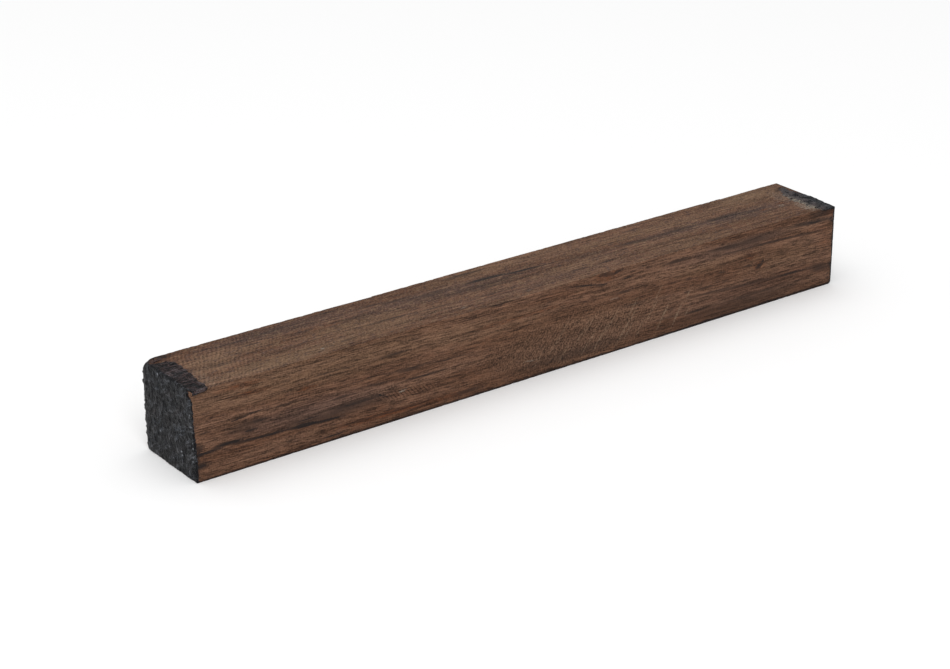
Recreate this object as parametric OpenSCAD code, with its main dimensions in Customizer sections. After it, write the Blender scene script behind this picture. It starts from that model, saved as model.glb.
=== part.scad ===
// Square wood turning blank with a brushed-on wax seal over each end.
// Millimetres. X runs along the grain, +X towards the far end. -Y is the front face, +Z is up.
// The origin is at the middle of the underside.

/* [Sawn blank] */
// Length of the wood between its two end cuts
blank_l = 350; // [280:1:460]
// Width from the front face to the back face
blank_w = 40; // [30:0.5:60]
// Height from the underside to the top face
blank_h = 40; // [30:0.5:60]
// Rounding that sawing and handling leave on the long arrises
arris_r = 0.4; // [0.2:0.1:1]

/* [Worn corners] */
// Rounding of the long arris at the bottom of the back face
heel_r = 1.8; // [0.6:0.1:3]
// Rounding of the upright arris at the back of the far end
far_back_r = 2.6; // [1.2:0.1:4]
// Rounding of the bottom arris of the far end
far_foot_r = 1.6; // [1.1:0.1:3]
// How far the knock at the near back top corner reaches along the length
knock_l = 5.5; // [2:0.5:10]
// How far that knock reaches in from the back face
knock_w = 3; // [1:0.5:6]
// How far that knock reaches down from the top face
knock_h = 3.5; // [1:0.5:6]

/* [Splinters off the back top arris] */
// Depth of each splinter at its torn end, measured in from the back face
splinter_d = 0.7; // [0.3:0.1:1.5]
// How much deeper than its width a splinter runs down the back face
splinter_drop = 2; // [1:0.25:4]
// Distance of the near splinter's torn end from the near end cut
near_splinter_x = 111; // [60:1:160]
// Length of the near splinter, from nothing to its torn end
near_splinter_l = 38; // [15:1:50]
// Distance of the far splinter's torn end from the far end cut
far_splinter_x = 37; // [20:1:100]

/* [Wax end seals] */
// Thickness of the wax over the end grain
coat_t = 1; // [0.6:0.1:1.6]
// Thickness of the wax that laps onto the top face
lap_t = 0.5; // [0.3:0.1:0.9]
// Mean reach of the near lap along the top face, from the end cut
near_lap_l = 7.8; // [4:0.2:14]
// Mean reach of the far lap along the top face, from the end cut
far_lap_l = 9.6; // [5:0.2:14]
// How far a lap's brushed edge wanders either side of its mean
lap_wander = 0.7; // [0.2:0.1:1.2]
// Strip of the top face left bare along the back arris
bare_strip = 7.5; // [4:0.5:14]
// Height of the corner of the far end that the brush missed, at its back and top
bare_corner = 5; // [3:0.5:9]
// Bevel round the outer rim of the wax
rim_bevel = 0.5; // [0.2:0.1:0.5]
// Thickness of the lip that creeps round the front arris at the near end
lip_t = 0.4; // [0.3:0.1:0.8]
// Reach of that lip along the front face, from the end cut
lip_l = 1.1; // [0.6:0.1:2.5]
// Height of the lip's upper end above the underside
lip_top = 22; // [14:1:28]
// How far the wax stops short of the surface that the blank lies on
foot_gap = 0.3; // [0.2:0.1:1]

/* [Hidden] */
$fn = 48;
// Overshoot of a cutting shape past the face that it cuts
over = 1;
half_l = blank_l / 2;
half_w = blank_w / 2;
half_h = blank_h / 2;
outer_l = blank_l + 2 * coat_t;
half_outer = outer_l / 2;
// Points along a brushed edge, with the count and share of the two waves that make it wander
edge_steps = 24;
broad_waves = 2.3;
fine_waves = 6.7;
broad_share = 0.65;
// Where in those waves each brushed edge starts, in degrees
near_phase = 70;
far_phase = 200;
lip_phase = 40;
// How far the lip's edge wanders, as a share of its reach
lip_wander = 0.3;
// Share of its reach that the far lap loses where it meets the bare strip
far_lap_taper = 0.42;
// Share of a lap's reach over which it thins out to the bare wood, and how thin it gets there
feather = 0.3;
thin_edge = 0.4;
// How thin a lap is at the outer rim, as a share of its thickness
thin_rim = 0.2;
// Distance that laps and lip keep from the bevelled rim and the rounded arrises
rim_clear = 0.1;
wood_colour = [0.36, 0.24, 0.18];
wax_colour = [0.13, 0.13, 0.14];

// What is left over between a square corner and its rounding, at the origin and reaching to +X and +Y
module corner_waste(r) {
    difference() {
        translate([-over, -over]) square(r + over);
        translate([r, r]) circle(r);
    }
}

// Section across the grain, on Y and Z, with its four arrises rounded
module section() {
    difference() {
        translate([-half_w, 0]) square([blank_w, blank_h]);
        translate([-half_w, 0]) corner_waste(arris_r);
        translate([-half_w, blank_h]) mirror([0, 1]) corner_waste(arris_r);
        translate([half_w, blank_h]) rotate(180) corner_waste(arris_r);
        translate([half_w, 0]) mirror([1, 0]) corner_waste(heel_r);
    }
}

// The knocked corner: a tetrahedron over the three lengths that it reaches, grown out past the faces
module knock() {
    size = 1 + over * (1 / knock_l + 1 / knock_w + 1 / knock_h);
    translate([-half_outer - over, half_w + over, blank_h + over]) polyhedron(
        points = [[0, 0, 0], [size * knock_l, 0, 0], [0, -size * knock_w, 0], [0, 0, -size * knock_h]],
        faces = [[0, 1, 2], [0, 2, 3], [0, 3, 1], [1, 3, 2]]
    );
}

// Everything that wood and wax together may fill, with the corners that handling has worn
module worn_bar() {
    difference() {
        translate([-half_outer, 0, 0]) rotate([90, 0, 90]) linear_extrude(outer_l) section();
        translate([half_outer, half_w, -over]) linear_extrude(blank_h + 2 * over)
            rotate(180) corner_waste(far_back_r);
        translate([half_outer, half_w + over, 0]) rotate([90, 0, 0]) linear_extrude(blank_w + 2 * over)
            mirror([1, 0]) corner_waste(far_foot_r);
        knock();
    }
}

// A splinter off the back top arris: nothing at its tail, full size at its torn end
module splinter(torn_x, tail_x) {
    top = [torn_x, half_w - splinter_d, blank_h];
    side = [torn_x, half_w, blank_h - splinter_d * splinter_drop];
    // The same two points carried past the faces along the torn edge's own line
    past = over / splinter_d;
    high = top + past * (top - side);
    low = side + past * (side - top);
    polyhedron(
        points = [[tail_x, half_w, blank_h], high, low, [torn_x, low.y, high.z]],
        faces = torn_x > tail_x
            ? [[0, 2, 1], [0, 1, 3], [0, 3, 2], [1, 2, 3]]
            : [[0, 1, 2], [0, 3, 1], [0, 2, 3], [1, 3, 2]]
    );
}

module sawn_blank() {
    near_torn = near_splinter_x - half_l;
    color(wood_colour) difference() {
        intersection() {
            worn_bar();
            translate([-half_l, -blank_w, -over]) cube([blank_l, 2 * blank_w, blank_h + 2 * over]);
        }
        splinter(near_torn, near_torn - near_splinter_l);
        splinter(half_l - far_splinter_x, half_l + far_splinter_x);
    }
}

// How far a brushed edge stands from its mean, as a share of its wander, at a share t of its run
function wander(t, phase) =
    broad_share * sin(360 * broad_waves * t + phase) + (1 - broad_share) * sin(360 * fine_waves * t + 2 * phase);

// What of its children the wood between the two end cuts leaves free
module clear_of_wood() {
    difference() {
        children();
        translate([-half_l, -half_w, 0]) cube([blank_l, blank_w, blank_h]);
    }
}

// Plan of a lap, with X its reach past the end cut and Y across the top face.
// Taper is the share of its reach that it loses by the time it meets the bare strip.
module lap_plan(reach, phase, taper) {
    front = -half_w + max(arris_r, rim_bevel) + rim_clear;
    back = half_w - bare_strip;
    polygon(concat(
        [[-coat_t, back], [-coat_t, front]],
        [for (i = [0:edge_steps]) let (t = i / edge_steps)
            [reach * (1 - taper * pow(t, 4)) + lap_wander * wander(t, phase), front + (back - front) * t]]
    ));
}

// Section along the grain through a lap, which sinks into the end coat, is thin at the outer rim
// and thins out again over the wood
module lap_section(reach) {
    longest = reach + 2 * lap_wander;
    polygon([
        [-coat_t, -coat_t],
        [-coat_t, lap_t * thin_rim],
        [-coat_t + rim_bevel, lap_t],
        [reach * (1 - feather), lap_t],
        [longest, lap_t * thin_edge],
        [longest, -coat_t],
    ]);
}

// A lap of wax on the top face, with X its reach past the end cut at the origin
module lap(reach, phase, taper) {
    translate([0, 0, blank_h]) intersection() {
        translate([0, 0, -coat_t]) linear_extrude(coat_t + lap_t) lap_plan(reach, phase, taper);
        translate([0, blank_w, 0]) rotate([90, 0, 0]) linear_extrude(2 * blank_w) lap_section(reach);
    }
}

// Bevels the outer rim of a seal at its two sides and its foot, at the -X end
module rim_waste() {
    side = sqrt(2) * rim_bevel;
    longest = 2 * (blank_w + blank_h);
    for (y = [-half_w, half_w])
        translate([-half_outer, y, half_h]) rotate([0, 0, 45]) cube([side, side, longest], center = true);
    translate([-half_outer, 0, foot_gap]) rotate([0, 45, 0]) cube([side, longest, side], center = true);
}

// The coat over one end cut, from the wood to the outer face, at the -X end
module end_coat() {
    difference() {
        translate([-half_outer, -half_w, foot_gap]) cube([coat_t, blank_w, blank_h - foot_gap]);
        rim_waste();
    }
}

// The lip that creeps round the front arris at the near end, with a brushed upper edge
module front_lip() {
    foot = foot_gap + max(arris_r, rim_bevel) + rim_clear;
    outer = -coat_t + rim_bevel + rim_clear;
    translate([-half_l, -half_w + coat_t, 0]) rotate([90, 0, 0]) linear_extrude(coat_t + lip_t) polygon(concat(
        [[outer, lip_top], [outer, foot]],
        [for (i = [0:edge_steps]) let (t = i / edge_steps)
            [lip_l * (1 - t * t) * (1 + lip_wander * wander(t, lip_phase)), foot + (lip_top - foot) * t]]
    ));
}

// The corner that the brush missed at the far end, at its back and top, cut off along a slant
module missed_corner() {
    slant_y = half_w - bare_strip;
    rotate([90, 0, 90]) linear_extrude(outer_l) polygon([
        [slant_y, blank_h],
        [half_w, blank_h - bare_corner],
        [half_w + over, blank_h - bare_corner],
        [half_w + over, blank_h + over],
        [slant_y, blank_h + over],
    ]);
}

module near_end_seal() {
    color(wax_colour) union() {
        intersection() {
            worn_bar();
            end_coat();
        }
        clear_of_wood() {
            translate([-half_l, 0, 0]) lap(near_lap_l, near_phase, 0);
            front_lip();
        }
    }
}

module far_end_seal() {
    color(wax_colour) union() {
        difference() {
            intersection() {
                worn_bar();
                mirror([1, 0, 0]) end_coat();
            }
            missed_corner();
        }
        clear_of_wood()
            translate([half_l, 0, 0]) mirror([1, 0, 0]) lap(far_lap_l, far_phase, far_lap_taper);
    }
}

sawn_blank();
near_end_seal();
far_end_seal();
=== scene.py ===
"""A square wood turning blank with black wax brushed over both ends.

The blank lies along X on Z = 0, with its near end towards -X and its front face towards -Y.
Lengths are in millimetres until a mesh, a light or a node takes them. Places on the blank are
given as along (from the outer face of the near end), across (from the front face) and up.
"""
import logging
import math
from dataclasses import dataclass
from enum import Enum

import bmesh
import bpy
import numpy as np
from mathutils import Matrix, Vector, noise


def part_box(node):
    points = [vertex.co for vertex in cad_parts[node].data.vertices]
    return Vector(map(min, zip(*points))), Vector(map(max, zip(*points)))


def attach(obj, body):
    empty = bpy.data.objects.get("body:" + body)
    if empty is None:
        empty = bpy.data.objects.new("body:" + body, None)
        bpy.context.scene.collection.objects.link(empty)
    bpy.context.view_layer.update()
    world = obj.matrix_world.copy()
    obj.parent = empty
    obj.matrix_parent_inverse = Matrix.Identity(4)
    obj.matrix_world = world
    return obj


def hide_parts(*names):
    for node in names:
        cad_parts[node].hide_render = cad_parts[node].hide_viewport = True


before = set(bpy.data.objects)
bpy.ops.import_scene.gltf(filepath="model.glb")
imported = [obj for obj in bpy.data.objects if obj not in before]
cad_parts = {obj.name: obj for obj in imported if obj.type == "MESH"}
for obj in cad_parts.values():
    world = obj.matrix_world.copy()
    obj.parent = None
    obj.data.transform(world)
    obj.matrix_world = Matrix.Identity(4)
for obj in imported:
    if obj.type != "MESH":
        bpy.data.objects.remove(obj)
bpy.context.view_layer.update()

log = logging.getLogger("blank")

MM = 0.001
PHOTO_WIDTH = 950

Colour = tuple[float, float, float]
Cell = tuple[float, float, float]


def box_mm(node: str) -> tuple[np.ndarray, np.ndarray]:
    """The lowest and highest corner of a CAD node.

    Args:
        node: Name of the node.

    Returns:
        Two corners in millimetres.
    """
    low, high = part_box(node)
    return np.array(low) / MM, np.array(high) / MM


WOOD_LOW, WOOD_HIGH = box_mm("sawn_blank")
WHOLE_LOW = box_mm("near_end_seal")[0]
WHOLE_HIGH = box_mm("far_end_seal")[1]
# The corner that the measures along, across and up start from
START = np.array([WHOLE_LOW[0], WOOD_LOW[1], WOOD_LOW[2]])
LENGTH = WHOLE_HIGH[0] - WHOLE_LOW[0]
WIDTH = WOOD_HIGH[1] - WOOD_LOW[1]
HEIGHT = WOOD_HIGH[2] - WOOD_LOW[2]


class Value:
    """A node's output that takes part in Python sums, each of which adds one Math node."""

    def __init__(self, graph: "Graph", socket: bpy.types.NodeSocket) -> None:
        """Keeps the graph that the socket belongs to."""
        self.graph = graph
        self.socket = socket

    def math(self, operation: str, *terms: "Value | float", clamp: bool = False) -> "Value":
        """Adds one Math node.

        Args:
            operation: The node's operation.
            terms: Its inputs, in order.
            clamp: Whether its result is held between 0 and 1.

        Returns:
            The node's result.
        """
        settings = {"operation": operation, "use_clamp": clamp}
        return self.graph.node("ShaderNodeMath", settings, dict(enumerate(terms)))

    def __add__(self, other: "Value | float") -> "Value":
        """This plus other."""
        return self.math("ADD", self, other)

    def __radd__(self, other: float) -> "Value":
        """Other plus this."""
        return self.math("ADD", other, self)

    def __sub__(self, other: "Value | float") -> "Value":
        """This less other."""
        return self.math("SUBTRACT", self, other)

    def __rsub__(self, other: float) -> "Value":
        """Other less this."""
        return self.math("SUBTRACT", other, self)

    def __mul__(self, other: "Value | float") -> "Value":
        """This times other."""
        return self.math("MULTIPLY", self, other)

    def __rmul__(self, other: float) -> "Value":
        """Other times this."""
        return self.math("MULTIPLY", other, self)

    def __truediv__(self, other: "Value | float") -> "Value":
        """This over other."""
        return self.math("DIVIDE", self, other)

    def __rtruediv__(self, other: float) -> "Value":
        """Other over this."""
        return self.math("DIVIDE", other, self)

    def __gt__(self, other: "Value | float") -> "Value":
        """1 where this is the greater, and 0 elsewhere."""
        return self.math("GREATER_THAN", self, other)

    def __lt__(self, other: "Value | float") -> "Value":
        """1 where this is the lesser, and 0 elsewhere."""
        return self.math("LESS_THAN", self, other)

    def __abs__(self) -> "Value":
        """The size of this without its sign."""
        return self.math("ABSOLUTE", self)

    def clamped(self) -> "Value":
        """This, held between 0 and 1."""
        return self.math("ADD", self, 0.0, clamp=True)

    def highest(self, other: "Value | float") -> "Value":
        """The greater of this and other."""
        return self.math("MAXIMUM", self, other)

    def sine(self) -> "Value":
        """The sine of this, in radians."""
        return self.math("SINE", self)

    def rise(self, low: float, high: float) -> "Value":
        """A smooth step.

        Args:
            low: Where it starts to leave 0. It may be above high, and then the step falls.
            high: Where it reaches 1.

        Returns:
            A value from 0 to 1.
        """
        settings = {"interpolation_type": "SMOOTHSTEP"}
        inputs = {"Value": self, "From Min": low, "From Max": high, "To Min": 0.0, "To Max": 1.0}
        return self.graph.node("ShaderNodeMapRange", settings, inputs)


Term = Value | float


def sine(angle: "Value | np.ndarray") -> "Value | np.ndarray":
    """The sine of an angle in radians, of a node's value or of an array."""
    return angle.sine() if isinstance(angle, Value) else np.sin(angle)


class Graph:
    """The nodes of one material, and the surface shader that they feed."""

    def __init__(self, name: str) -> None:
        """Makes the material.

        Args:
            name: The material's name.
        """
        self.material = bpy.data.materials.new(name)
        self.material.use_nodes = True
        self.tree = self.material.node_tree
        self.surface = self.tree.nodes["Principled BSDF"]

    def node(self, kind: str, settings: dict, inputs: dict, output: int | str = 0) -> Value:
        """Adds any node.

        Args:
            kind: The node's type.
            settings: Its properties, which are set first.
            inputs: The values or links of its sockets, by number or name.
            output: The output to hand on.

        Returns:
            That output.
        """
        made = self.tree.nodes.new(kind)
        for name, setting in settings.items():
            setattr(made, name, setting)
        for name, value in inputs.items():
            self.feed(made.inputs[name], value)
        return Value(self, made.outputs[output])

    def feed(self, socket: bpy.types.NodeSocket, value: "Value | float | tuple") -> None:
        """Links or sets a socket.

        Args:
            socket: The socket.
            value: A node's output, a number, or a vector or colour.
        """
        if isinstance(value, Value):
            self.tree.links.new(value.socket, socket)
        elif socket.type == "RGBA" and len(value) == 3:
            socket.default_value = (*value, 1.0)
        else:
            socket.default_value = value

    def place(self) -> Value:
        """Finds the point on the blank that is shaded.

        Returns:
            Its place along, across and up, in millimetres.
        """
        metres = self.node("ShaderNodeTexCoord", {}, {}, "Object")
        inputs = {0: metres, 1: (1 / MM,) * 3, 2: tuple(-START)}
        return self.node("ShaderNodeVectorMath", {"operation": "MULTIPLY_ADD"}, inputs)

    def split(self, vector: Value) -> tuple[Value, Value, Value]:
        """The three parts of a vector."""
        parts = self.node("ShaderNodeSeparateXYZ", {}, {0: vector}).socket.node.outputs
        return Value(self, parts[0]), Value(self, parts[1]), Value(self, parts[2])

    def join(self, x: Term, y: Term, z: Term) -> Value:
        """A vector of three parts."""
        return self.node("ShaderNodeCombineXYZ", {}, {0: x, 1: y, 2: z})

    def noise(self, point: Value, cell: Cell, detail: float = 1.0, roughness: float = 0.5) -> Value:
        """Smooth noise about 0.5.

        Args:
            point: Where it is read.
            cell: The size of its features along each axis.
            detail: How many finer layers it has.
            roughness: How strong those are.

        Returns:
            A value that mostly lies between 0.2 and 0.8.
        """
        shares = tuple(1 / size for size in cell)
        scaled = self.node("ShaderNodeVectorMath", {"operation": "MULTIPLY"}, {0: point, 1: shares})
        inputs = {"Vector": scaled, "Scale": 1.0, "Detail": detail, "Roughness": roughness}
        return self.node("ShaderNodeTexNoise", {}, inputs)

    def specks(self, point: Value, cell: float) -> tuple[Value, Value]:
        """Scattered points, one in each cell of that size.

        Args:
            point: Where they are read.
            cell: The size of a cell.

        Returns:
            The distance from the nearest point as a share of the cell, and a number that differs
            from point to point.
        """
        scaled = self.node("ShaderNodeVectorMath", {"operation": "SCALE"}, {0: point, "Scale": 1 / cell})
        distance = self.node("ShaderNodeTexVoronoi", {}, {"Vector": scaled, "Scale": 1.0}, "Distance")
        colour = Value(self, distance.socket.node.outputs["Color"])
        return distance, self.split(colour)[0]

    def blend(self, share: Term, first: "Value | Colour", second: "Value | Colour") -> Value:
        """A mix of two colours.

        Args:
            share: 0 for the first, 1 for the second.
            first: A colour.
            second: A colour.

        Returns:
            The mixed colour.
        """
        return self.node("ShaderNodeMix", {"data_type": "RGBA"}, {0: share, 6: first, 7: second}, 2)

    def shade(self, colour: Value, tone: Value) -> Value:
        """A colour made lighter or darker by a factor."""
        return self.node("ShaderNodeVectorMath", {"operation": "SCALE"}, {0: colour, "Scale": tone})

    def finish(self, colour: Value, roughness: Value, height: Value, gloss: float) -> bpy.types.Material:
        """Feeds the surface shader.

        Args:
            colour: Base colour.
            roughness: Roughness.
            height: Relief in millimetres.
            gloss: Specular level, the same all over.

        Returns:
            The finished material.
        """
        bump = self.node("ShaderNodeBump", {}, {"Strength": 1.0, "Distance": MM, "Height": height})
        self.feed(self.surface.inputs["Base Color"], colour)
        self.feed(self.surface.inputs["Roughness"], roughness)
        self.feed(self.surface.inputs["Normal"], bump)
        self.surface.inputs["Specular IOR Level"].default_value = gloss
        return self.material


class Face(Enum):
    """The four long faces, each with the offset that keeps its marks apart from the others'."""

    TOP = 0.0
    FRONT = 100.0
    UNDERSIDE = 200.0
    BACK = 300.0


@dataclass(frozen=True)
class Streak:
    """A streak along the grain of one long face, in millimetres.

    Attributes:
        start: Where it starts, along the blank.
        end: Where it ends.
        level: How far across the top it starts, or how far up the front.
        drift: How far it has risen by its end.
        spread: Half its width at the middle.
        depth: How strong it is, from 0 to about 1.
    """

    start: float
    end: float
    level: float
    drift: float
    spread: float
    depth: float


Marks = dict[Face, tuple[Streak, ...]]


def streaks(*rows: tuple[float, ...]) -> tuple[Streak, ...]:
    """Streaks from rows of start, end, level, drift, spread and depth."""
    return tuple(Streak(*row) for row in rows)


@dataclass(frozen=True)
class Knot:
    """A pin knot that the grain bends round.

    Attributes:
        face: The face that shows it.
        along: Its place along the blank.
        level: Its place across the top or up the front.
        radius: Its radius.
        push: How far the grain beside it is pushed away.
        ahead: How far along the grain that is felt, in radii.
        aside: How far across it is felt, in radii.
    """

    face: Face
    along: float
    level: float
    radius: float
    push: float
    ahead: float = 4.0
    aside: float = 2.5


@dataclass(frozen=True)
class SawMarks:
    """The slanting lines that a saw leaves, a pitch apart along the blank.

    Attributes:
        pitch: Their distance along the blank.
        slant: How far a line leans along the blank for each millimetre across.
        fan: How much that grows for each millimetre along.
        wobble: How far the lines stray, as a share of the pitch.
    """

    pitch: float
    slant: float
    fan: float
    wobble: float

    def wave(self, along: "Value | np.ndarray", level: "Value | np.ndarray") -> "Value | np.ndarray":
        """The height of the marks.

        Args:
            along: Place along the blank.
            level: Place across the face.

        Returns:
            From -1 in a mark to 1 between two.
        """
        lean = level * (along * self.fan + self.slant)
        stray = sine(along * 0.19 + level * 0.13) + sine(along * 0.071 - level * 0.37)
        return sine(((along - lean) * (1 / self.pitch) + stray * self.wobble) * math.tau)


TOP_MARKS = SawMarks(pitch=1.9, slant=0.55, fan=0.0012, wobble=0.22)
FRONT_MARKS = SawMarks(pitch=1.8, slant=-0.7, fan=0.0, wobble=0.15)
UPRIGHT_MARKS = SawMarks(pitch=1.5, slant=0.05, fan=0.0, wobble=0.3)
SAW_MARKS = {
    Face.TOP: TOP_MARKS,
    Face.FRONT: FRONT_MARKS,
    Face.BACK: FRONT_MARKS,
    Face.UNDERSIDE: TOP_MARKS,
}
# How deep the marks are on each face, as a share of those on the top
MARK_SHARES = {Face.TOP: 1.0, Face.FRONT: 0.45, Face.BACK: 0.6, Face.UNDERSIDE: 0.5}
# How far the scuffs on the sides lean along the blank for each millimetre up
SCUFF_LEAN = 0.75


@dataclass(frozen=True)
class Grain:
    """The layers that the wood is drawn with, as node values.

    Attributes:
        x: Place along the blank.
        level: Place across the top or up a side.
        flat: The same, past the face's own offset.
        u: That again, swayed as the grain is.
        top: 1 on the top face.
        front: 1 on the front face.
        band: Broad bands.
        streak: Streaks a few centimetres long.
        lines: Long thin lines, about 0.
        fuzz: Short dashes along the saw marks, about 0.
        fine: Fibres, about 0.
        grit: Fine speckle, about 0.
        scuff: Short slanting scuffs on the sides, about 0.
        cloud: Soft patches.
        blotch: Blotches a few millimetres across.
    """

    x: Value
    level: Value
    flat: Value
    u: Value
    top: Value
    front: Value
    band: Value
    streak: Value
    lines: Value
    fuzz: Value
    fine: Value
    grit: Value
    scuff: Value
    cloud: Value
    blotch: Value


# The pin knots that show
KNOTS = (
    Knot(Face.FRONT, 213.3, 40.0, 1.3, 1.6),
    Knot(Face.FRONT, 303.0, 21.4, 1.5, 0.9),
    Knot(Face.TOP, 212.0, 1.0, 2.2, 1.8),
)

# The figure that shows, face by face. A row is a streak's start, end, level, drift, spread and depth
DARK_STREAKS: Marks = {
    Face.TOP: streaks(
        (26, 50, 33, -0.2, 0.7, 0.6),
        (44, 72, 33.6, 0.6, 1.6, 0.4),
        (36, 49, 27.2, -0.4, 1, 0.55),
        (57, 74, 25.3, -0.4, 1.2, 0.4),
        (7, 34, 17, -0.6, 0.8, 0.4),
        (14, 34, 15.8, -0.2, 0.5, 0.35),
        (50, 77, 15.3, -0.2, 0.6, 0.5),
        (88, 120, 14.4, -0.4, 0.9, 0.6),
        (112, 143, 13.2, -0.8, 0.8, 0.55),
        (79, 93, 36.8, -0.2, 0.8, 0.55),
        (95, 118, 32, -0.8, 1.2, 0.45),
        (108, 128, 29.5, 0, 1.3, 0.55),
        (84, 104, 24.5, 0, 2.4, 0.25),
        (117, 126, 34, 0, 1.2, 0.35),
        (144, 173, 36.3, 0, 1.6, 0.55),
        (118, 152, 26.6, 0, 2.4, 0.4),
        (130, 180, 21, -1, 3, 0.3),
        (150, 178, 26.3, -0.4, 1.5, 1.1),
        (170, 196, 24.9, -1.2, 1.1, 1.1),
        (190, 206, 23.5, -0.2, 0.6, 0.55),
        (146, 176, 17.6, -0.2, 1.1, 0.45),
        (140, 176, 11, -0.6, 0.8, 0.35),
        (196, 212, 11.4, -2.8, 0.7, 0.5),
        (210, 228, 8.2, 3, 0.7, 0.55),
        (200, 236, 21.5, 0, 2.6, 0.25),
        (233, 262, 20.8, -1.4, 1.7, 0.5),
        (256, 288, 20.2, -0.2, 1.3, 0.45),
        (284, 312, 20.6, -0.6, 2.1, 0.55),
        (305, 325, 18.6, -1, 1.6, 0.35),
        (245, 259, 33.4, -0.4, 1.2, 0.4),
        (279, 286, 22.4, 0, 0.8, 0.4),
        (257, 271, 11.4, -0.4, 0.6, 0.4),
        (296, 336, 11.2, 0, 0.4, 0.35),
        (73, 83, 6.8, 0.2, 0.7, 0.45),
        (65, 71, 7.6, -0.6, 0.5, 0.4),
        (130, 141, 5, 0, 0.8, 0.35),
        (166, 174, 3.6, 0, 1, 0.4),
    ),
    Face.FRONT: streaks(
        (-8, 14, 12.2, 0.3, 0.9, 1.1),
        (6, 24, 13.6, 0, 1.1, 1.1),
        (15, 32, 12.5, -0.3, 0.9, 0.9),
        (26, 45, 12, -0.4, 0.8, 1),
        (42, 60, 11.4, -0.8, 1.1, 0.85),
        (44, 62, 13.6, -0.2, 0.5, 0.6),
        (54, 72, 10.4, -0.8, 0.8, 0.7),
        (36, 100, 12, 0, 3.2, 0.42),
        (62, 94, 14.2, 0, 1.4, 0.48),
        (86, 94, 15.4, -3.6, 0.7, 0.75),
        (15, 26, 22.4, 0.8, 0.45, 0.85),
        (22, 34, 23.4, 0.6, 0.5, 0.85),
        (36, 46, 23.2, 0, 0.45, 0.7),
        (12, 36, 18.6, 0, 3.6, 0.3),
        (25, 35, 19.6, 0, 1, 0.5),
        (22, 30, 16.4, 0, 0.9, 0.55),
        (1, 8, 21, 0, 0.6, 0.5),
        (-3, 5, 15.6, -0.4, 1.8, 0.6),
        (-3, 7, 7.2, 0, 2, 0.85),
        (62, 78, 18.6, 0, 0.5, 0.65),
        (80, 96, 19.6, -0.4, 0.5, 0.45),
        (50, 78, 31.6, -0.2, 0.4, 0.5),
        (70, 79, 31.2, 0, 0.5, 0.45),
        (88, 106, 31, -0.2, 0.9, 0.6),
        (96, 112, 21.6, -0.2, 0.9, 0.6),
        (92, 120, 22.6, -0.6, 0.5, 0.55),
        (112, 142, 21.2, -0.6, 0.4, 0.55),
        (95, 128, 17.2, -0.4, 0.6, 0.7),
        (64, 96, 23.4, -0.4, 0.4, 0.45),
        (14, 34, 33, 0, 0.5, 0.3),
        (57, 73, 2.6, 0, 0.6, 0.7),
        (21, 27, 4.6, -0.2, 0.7, 0.35),
        (42, 46, 5.8, 0, 0.8, 0.45),
        (124, 146, 3.6, -0.2, 1.3, 0.55),
        (64, 118, 5.6, -0.4, 0.7, 0.45),
        (138, 168, 39.8, 0, 0.4, 0.8),
        (188, 213, 38.2, -3.6, 0.5, 0.85),
        (206, 216, 39.8, 0.3, 1.2, 0.55),
        (213, 222, 39.2, 0.2, 0.9, 0.8),
        (206, 213, 34.6, 0.6, 0.8, 0.5),
        (219, 228, 34.6, 0, 0.7, 0.75),
        (216, 228, 28.2, -0.4, 0.9, 0.6),
        (220, 236, 20.6, -0.2, 0.6, 0.5),
        (116, 150, 30.4, 0, 0.6, 0.25),
        (244, 262, 35.5, 0, 1.08, 0.63),
        (268, 292, 35.4, -0.8, 1.44, 0.41),
        (278, 322, 34.8, -0.6, 3, 0.42),
        (268, 356, 32.4, -3.6, 0.7, 0.65),
        (318, 356, 35.4, -1.6, 1.3, 0.75),
        (334, 356, 38, 0, 2.6, 0.5),
        (240, 252, 19.2, 0, 0.84, 0.41),
        (257.5, 261.5, 18.6, 0, 1.08, 0.59),
        (265, 278, 18.2, -0.3, 0.72, 0.59),
        (280, 286, 18.2, 0, 0.6, 0.37),
        (258, 263, 24.6, 0, 0.96, 0.55),
        (277.5, 284, 23.4, -0.8, 0.84, 0.59),
        (294, 301, 22.4, -0.5, 0.84, 0.63),
        (301, 307.6, 19.8, 2.2, 1, 0.9),
        (295.4, 300.6, 29, -4, 1, 0.75),
        (304.5, 308, 22.2, 0.4, 0.72, 0.59),
        (250, 290, 15.2, -0.6, 0.84, 0.41),
        (262, 338, 15, -3.8, 1.08, 0.44),
        (316, 338, 11.9, -0.6, 0.72, 0.59),
        (335, 353, 11.6, -3, 3, 0.5),
        (256, 274, 7.6, -0.2, 0.84, 0.55),
        (236, 260, 8.6, -0.4, 0.6, 0.37),
        (280, 322, 7.2, 0, 0.6, 0.33),
        (150, 236, 5.2, 0.6, 3.4, 0.36),
        (236, 356, 4.4, 0, 4.6, 0.34),
        (236, 290, 0.4, 0, 1.08, 0.59),
        (236, 256, 12.6, -0.4, 0.6, 0.37),
    ),
}
RUSSET_STREAKS: Marks = {
    Face.TOP: streaks(
        (318, 325, 16, 0.2, 1, 0.8),
        (331, 337, 18, 0, 1.2, 0.9),
        (45, 120, 27, -3, 3, 0.22),
        (130, 190, 9, 0, 2, 0.2),
    ),
    Face.FRONT: streaks(
        (8, 36, 37.2, 0, 1.5, 0.7),
        (14, 38, 33, 0, 1.5, 0.65),
        (47, 58, 27.6, -0.2, 1.1, 0.75),
        (64, 118, 5.2, -0.4, 1.5, 0.75),
        (100, 136, 4.4, -0.8, 1.6, 0.5),
        (120, 200, 30.6, 0, 1.3, 0.5),
        (120, 176, 24.5, 0, 2, 0.25),
        (343, 356, 38, 0, 2.6, 0.8),
        (203, 221, 38.6, 0, 3, 0.7),
        (294, 302, 27.4, -2, 2.6, 0.6),
        (299, 309, 21, 0, 2.4, 0.5),
        (341, 354, 24, 0, 6, 0.3),
    ),
}
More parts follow.
